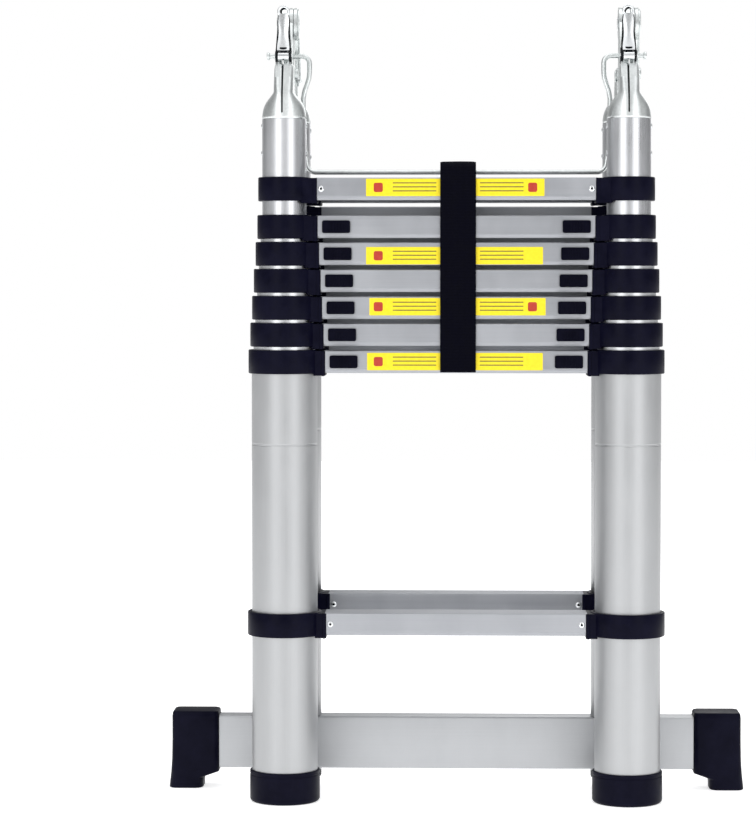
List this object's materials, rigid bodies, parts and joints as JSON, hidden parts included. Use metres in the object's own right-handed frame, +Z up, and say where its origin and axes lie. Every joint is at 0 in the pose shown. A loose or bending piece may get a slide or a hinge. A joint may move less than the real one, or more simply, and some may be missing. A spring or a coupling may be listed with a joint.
{
  "type": "telescoping ladder",
  "caption": "Folding telescopic ladder, collapsed: two halves of nested tubes and latched rungs, hinged at the top, with a stabiliser bar across the feet of one half.",
  "frame": {"origin": "middle of the ladder's footprint, on the floor", "axes": "+Z up along the stiles, +X along the rungs to the right as seen from the front, +Y from the front half to the rear half"},
  "size_m": [0.656, 0.1746, 0.886],
  "materials": {
    "aluminium": "satin drawn tube",
    "rung": "satin extrusion",
    "plastic": "fine-grained moulding",
    "steel": "bright zinc plate",
    "webbing": "woven strap"
  },
  "bodies": {
    "front_s1": {"front_tube_1_left": "aluminium", "front_tube_1_right": "aluminium", "front_lower_rung": "rung", "front_rung_1": "rung", "front_cap_left": "plastic", "front_cap_right": "plastic"},
    "rear_s1": {"rear_tube_1_left": "aluminium", "rear_tube_1_right": "aluminium", "rear_lower_rung": "rung", "rear_rung_1": "rung", "rear_cap_left": "plastic", "rear_cap_right": "plastic", "stabiliser_bar": "aluminium", "stabiliser_foot_left": "plastic", "stabiliser_foot_right": "plastic"},
    "front_s2": {"front_section_2": "aluminium"},
    "front_s3": {"front_section_3": "aluminium"},
    "front_s4": {"front_section_4": "aluminium"},
    "front_s5": {"front_section_5": "aluminium"},
    "front_s6": {"front_section_6": "aluminium"},
    "front_s7": {"front_section_7": "aluminium", "hinge_front_arm_left": "steel", "hinge_front_arm_right": "steel", "strap": "webbing"},
    "rear_s2": {"rear_section_2": "aluminium"},
    "rear_s3": {"rear_section_3": "aluminium"},
    "rear_s4": {"rear_section_4": "aluminium"},
    "rear_s5": {"rear_section_5": "aluminium"},
    "rear_s6": {"rear_section_6": "aluminium"},
    "rear_s7": {"rear_section_7": "aluminium", "hinge_rear_arm_left": "steel", "hinge_rear_arm_right": "steel"},
    "release_bar": {"release_bar": "steel"},
    "release_lever_left": {"release_lever_left": "steel"},
    "release_lever_right": {"release_lever_right": "steel"},
    "front_button_1_left": {"front_button_1_left": "plastic"},
    "front_button_1_right": {"front_button_1_right": "plastic"},
    "front_button_2_left": {"front_button_2_left": "plastic"},
    "front_button_2_right": {"front_button_2_right": "plastic"},
    "front_button_3_left": {"front_button_3_left": "plastic"},
    "front_button_3_right": {"front_button_3_right": "plastic"},
    "front_button_4_left": {"front_button_4_left": "plastic"},
    "front_button_4_right": {"front_button_4_right": "plastic"},
    "front_button_5_left": {"front_button_5_left": "plastic"},
    "front_button_5_right": {"front_button_5_right": "plastic"},
    "front_button_6_left": {"front_button_6_left": "plastic"},
    "front_button_6_right": {"front_button_6_right": "plastic"},
    "rear_button_1_left": {"rear_button_1_left": "plastic"},
    "rear_button_1_right": {"rear_button_1_right": "plastic"},
    "rear_button_2_left": {"rear_button_2_left": "plastic"},
    "rear_button_2_right": {"rear_button_2_right": "plastic"},
    "rear_button_3_left": {"rear_button_3_left": "plastic"},
    "rear_button_3_right": {"rear_button_3_right": "plastic"},
    "rear_button_4_left": {"rear_button_4_left": "plastic"},
    "rear_button_4_right": {"rear_button_4_right": "plastic"},
    "rear_button_5_left": {"rear_button_5_left": "plastic"},
    "rear_button_5_right": {"rear_button_5_right": "plastic"},
    "rear_button_6_left": {"rear_button_6_left": "plastic"},
    "rear_button_6_right": {"rear_button_6_right": "plastic"}
  },
  "joints": [
    {"name": "front_slide_2", "type": "slide", "parent": "front_s1", "child": "front_s2", "axis": [0, 0, 1], "range_m": [0, 0.26]},
    {"name": "front_slide_3", "type": "slide", "parent": "front_s2", "child": "front_s3", "axis": [0, 0, 1], "range_m": [0, 0.26]},
    {"name": "front_slide_4", "type": "slide", "parent": "front_s3", "child": "front_s4", "axis": [0, 0, 1], "range_m": [0, 0.26]},
    {"name": "front_slide_5", "type": "slide", "parent": "front_s4", "child": "front_s5", "axis": [0, 0, 1], "range_m": [0, 0.26]},
    {"name": "front_slide_6", "type": "slide", "parent": "front_s5", "child": "front_s6", "axis": [0, 0, 1], "range_m": [0, 0.26]},
    {"name": "front_slide_7", "type": "slide", "parent": "front_s6", "child": "front_s7", "axis": [0, 0, 1], "range_m": [-0.012, 0.248]},
    {"name": "fold", "type": "hinge", "parent": "front_s7", "child": "rear_s7", "pos_m": [0, 0, 0.868], "axis": [1, 0, 0], "range_deg": [0, 180]},
    {"name": "rear_slide_7", "type": "slide", "parent": "rear_s7", "child": "rear_s6", "axis": [0, 0, -1], "range_m": [0, 0.26]},
    {"name": "rear_slide_6", "type": "slide", "parent": "rear_s6", "child": "rear_s5", "axis": [0, 0, -1], "range_m": [0, 0.26]},
    {"name": "rear_slide_5", "type": "slide", "parent": "rear_s5", "child": "rear_s4", "axis": [0, 0, -1], "range_m": [0, 0.26]},
    {"name": "rear_slide_4", "type": "slide", "parent": "rear_s4", "child": "rear_s3", "axis": [0, 0, -1], "range_m": [0, 0.26]},
    {"name": "rear_slide_3", "type": "slide", "parent": "rear_s3", "child": "rear_s2", "axis": [0, 0, -1], "range_m": [0, 0.26]},
    {"name": "rear_slide_2", "type": "slide", "parent": "rear_s2", "child": "rear_s1", "axis": [0, 0, -1], "range_m": [0, 0.26]},
    {"name": "release_slide", "type": "slide", "parent": "front_s7", "child": "release_bar", "axis": [0, 0, -1], "range_m": [0, 0.008], "stiffness_N_per_m": 600, "springref_m": -0.004},
    {"name": "lever_left_tilt", "type": "hinge", "parent": "front_s7", "child": "release_lever_left", "pos_m": [-0.1907, -0.0525, 0.829], "axis": [1, 0, 0], "range_deg": [0, 30]},
    {"name": "lever_right_tilt", "type": "hinge", "parent": "front_s7", "child": "release_lever_right", "pos_m": [0.1907, -0.0525, 0.829], "axis": [1, 0, 0], "range_deg": [0, 30]},
    {"name": "front_button_1_left_slide", "type": "slide", "parent": "front_s1", "child": "front_button_1_left", "axis": [1, 0, 0], "range_m": [0, 0.008], "stiffness_N_per_m": 400, "springref_m": -0.005},
    {"name": "front_button_1_right_slide", "type": "slide", "parent": "front_s1", "child": "front_button_1_right", "axis": [-1, 0, 0], "range_m": [0, 0.008], "stiffness_N_per_m": 400, "springref_m": -0.005},
    {"name": "front_button_2_left_slide", "type": "slide", "parent": "front_s2", "child": "front_button_2_left", "axis": [1, 0, 0], "range_m": [0, 0.008], "stiffness_N_per_m": 400, "springref_m": -0.005},
    {"name": "front_button_2_right_slide", "type": "slide", "parent": "front_s2", "child": "front_button_2_right", "axis": [-1, 0, 0], "range_m": [0, 0.008], "stiffness_N_per_m": 400, "springref_m": -0.005},
    {"name": "front_button_3_left_slide", "type": "slide", "parent": "front_s3", "child": "front_button_3_left", "axis": [1, 0, 0], "range_m": [0, 0.008], "stiffness_N_per_m": 400, "springref_m": -0.005},
    {"name": "front_button_3_right_slide", "type": "slide", "parent": "front_s3", "child": "front_button_3_right", "axis": [-1, 0, 0], "range_m": [0, 0.008], "stiffness_N_per_m": 400, "springref_m": -0.005},
    {"name": "front_button_4_left_slide", "type": "slide", "parent": "front_s4", "child": "front_button_4_left", "axis": [1, 0, 0], "range_m": [0, 0.008], "stiffness_N_per_m": 400, "springref_m": -0.005},
    {"name": "front_button_4_right_slide", "type": "slide", "parent": "front_s4", "child": "front_button_4_right", "axis": [-1, 0, 0], "range_m": [0, 0.008], "stiffness_N_per_m": 400, "springref_m": -0.005},
    {"name": "front_button_5_left_slide", "type": "slide", "parent": "front_s5", "child": "front_button_5_left", "axis": [1, 0, 0], "range_m": [0, 0.008], "stiffness_N_per_m": 400, "springref_m": -0.005},
    {"name": "front_button_5_right_slide", "type": "slide", "parent": "front_s5", "child": "front_button_5_right", "axis": [-1, 0, 0], "range_m": [0, 0.008], "stiffness_N_per_m": 400, "springref_m": -0.005},
    {"name": "front_button_6_left_slide", "type": "slide", "parent": "front_s6", "child": "front_button_6_left", "axis": [1, 0, 0], "range_m": [0, 0.008], "stiffness_N_per_m": 400, "springref_m": -0.005},
    {"name": "front_button_6_right_slide", "type": "slide", "parent": "front_s6", "child": "front_button_6_right", "axis": [-1, 0, 0], "range_m": [0, 0.008], "stiffness_N_per_m": 400, "springref_m": -0.005},
    {"name": "rear_button_1_left_slide", "type": "slide", "parent": "rear_s1", "child": "rear_button_1_left", "axis": [1, 0, 0], "range_m": [0, 0.008], "stiffness_N_per_m": 400, "springref_m": -0.005},
    {"name": "rear_button_1_right_slide", "type": "slide", "parent": "rear_s1", "child": "rear_button_1_right", "axis": [-1, 0, 0], "range_m": [0, 0.008], "stiffness_N_per_m": 400, "springref_m": -0.005},
    {"name": "rear_button_2_left_slide", "type": "slide", "parent": "rear_s2", "child": "rear_button_2_left", "axis": [1, 0, 0], "range_m": [0, 0.008], "stiffness_N_per_m": 400, "springref_m": -0.005},
    {"name": "rear_button_2_right_slide", "type": "slide", "parent": "rear_s2", "child": "rear_button_2_right", "axis": [-1, 0, 0], "range_m": [0, 0.008], "stiffness_N_per_m": 400, "springref_m": -0.005},
    {"name": "rear_button_3_left_slide", "type": "slide", "parent": "rear_s3", "child": "rear_button_3_left", "axis": [1, 0, 0], "range_m": [0, 0.008], "stiffness_N_per_m": 400, "springref_m": -0.005},
    {"name": "rear_button_3_right_slide", "type": "slide", "parent": "rear_s3", "child": "rear_button_3_right", "axis": [-1, 0, 0], "range_m": [0, 0.008], "stiffness_N_per_m": 400, "springref_m": -0.005},
    {"name": "rear_button_4_left_slide", "type": "slide", "parent": "rear_s4", "child": "rear_button_4_left", "axis": [1, 0, 0], "range_m": [0, 0.008], "stiffness_N_per_m": 400, "springref_m": -0.005},
    {"name": "rear_button_4_right_slide", "type": "slide", "parent": "rear_s4", "child": "rear_button_4_right", "axis": [-1, 0, 0], "range_m": [0, 0.008], "stiffness_N_per_m": 400, "springref_m": -0.005},
    {"name": "rear_button_5_left_slide", "type": "slide", "parent": "rear_s5", "child": "rear_button_5_left", "axis": [1, 0, 0], "range_m": [0, 0.008], "stiffness_N_per_m": 400, "springref_m": -0.005},
    {"name": "rear_button_5_right_slide", "type": "slide", "parent": "rear_s5", "child": "rear_button_5_right", "axis": [-1, 0, 0], "range_m": [0, 0.008], "stiffness_N_per_m": 400, "springref_m": -0.005},
    {"name": "rear_button_6_left_slide", "type": "slide", "parent": "rear_s6", "child": "rear_button_6_left", "axis": [1, 0, 0], "range_m": [0, 0.008], "stiffness_N_per_m": 400, "springref_m": -0.005},
    {"name": "rear_button_6_right_slide", "type": "slide", "parent": "rear_s6", "child": "rear_button_6_right", "axis": [-1, 0, 0], "range_m": [0, 0.008], "stiffness_N_per_m": 400, "springref_m": -0.005}
  ],
  "couplings": [
    {"joint": "lever_left_tilt", "follows": "release_slide", "rad_per_m": 62.5},
    {"joint": "lever_right_tilt", "follows": "release_slide", "rad_per_m": 62.5}
  ]
}
